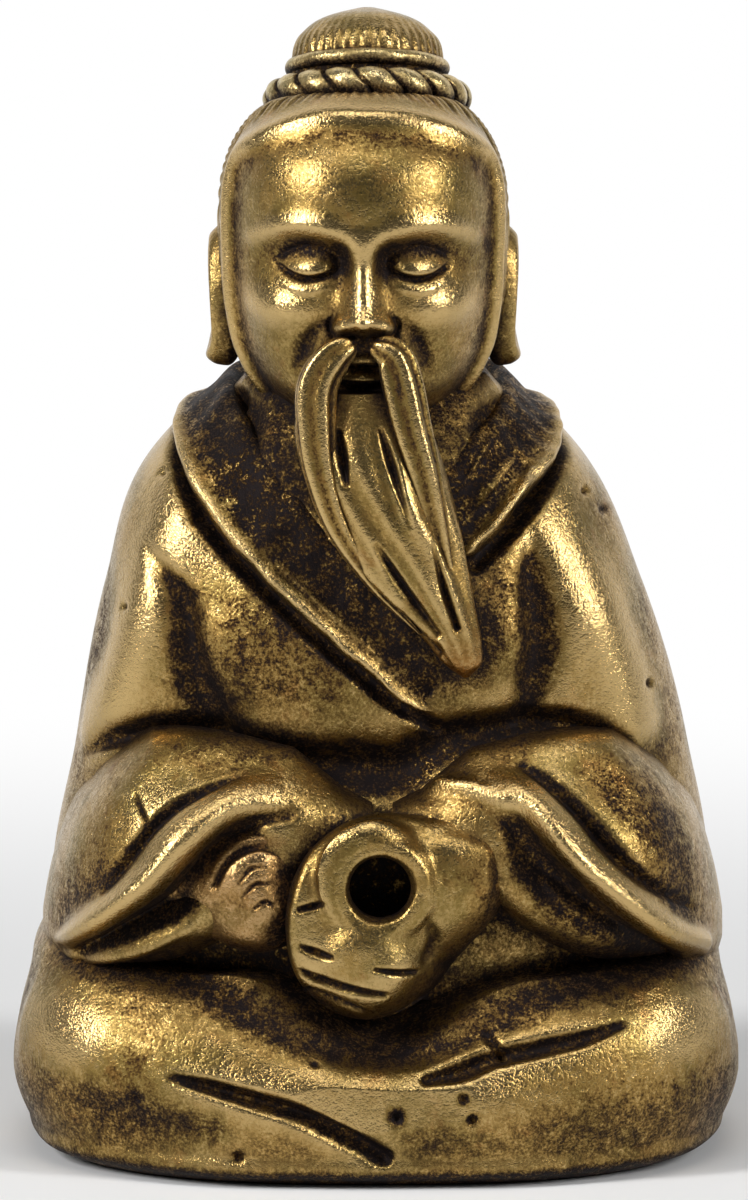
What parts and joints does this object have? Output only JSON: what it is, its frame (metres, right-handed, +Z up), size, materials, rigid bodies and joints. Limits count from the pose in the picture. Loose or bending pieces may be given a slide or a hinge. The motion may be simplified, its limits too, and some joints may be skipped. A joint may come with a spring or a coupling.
{
  "type": "seated sage figurine",
  "caption": "Small cast-brass seated elder with topknot, long beard and crossed robe, hand bored for a thin rod, on a flat base.",
  "frame": {"origin": "on the resting plane, under the middle of the figure's bounding box", "axes": "+Z up, the figure faces -Y, and its left hand is at +X"},
  "size_m": [0.0286, 0.022, 0.045],
  "materials": {
    "cast_brass": "lost-wax cast brass, burnished on the high places, dark patina in the recesses",
    "rubbed_brass": "plain drawn brass rod, filed flush",
    "patinated_brass": "flat sheet brass with a dark brown patina"
  },
  "bodies": {
    "root": {"crossed_legs": "cast_brass", "base_plate": "patinated_brass", "right_seat_pin": "rubbed_brass", "left_seat_pin": "rubbed_brass", "robe_body": "cast_brass", "right_sleeve": "cast_brass", "right_sleeve_dowel": "rubbed_brass", "left_sleeve": "cast_brass", "left_sleeve_dowel": "rubbed_brass", "rod_hand": "cast_brass", "resting_hand": "cast_brass", "head": "cast_brass", "neck_pin": "rubbed_brass", "topknot": "cast_brass", "braided_cord": "cast_brass", "plain_cord": "cast_brass", "right_lapel": "cast_brass", "left_lapel": "cast_brass", "beard": "cast_brass"}
  },
  "joints": []
}
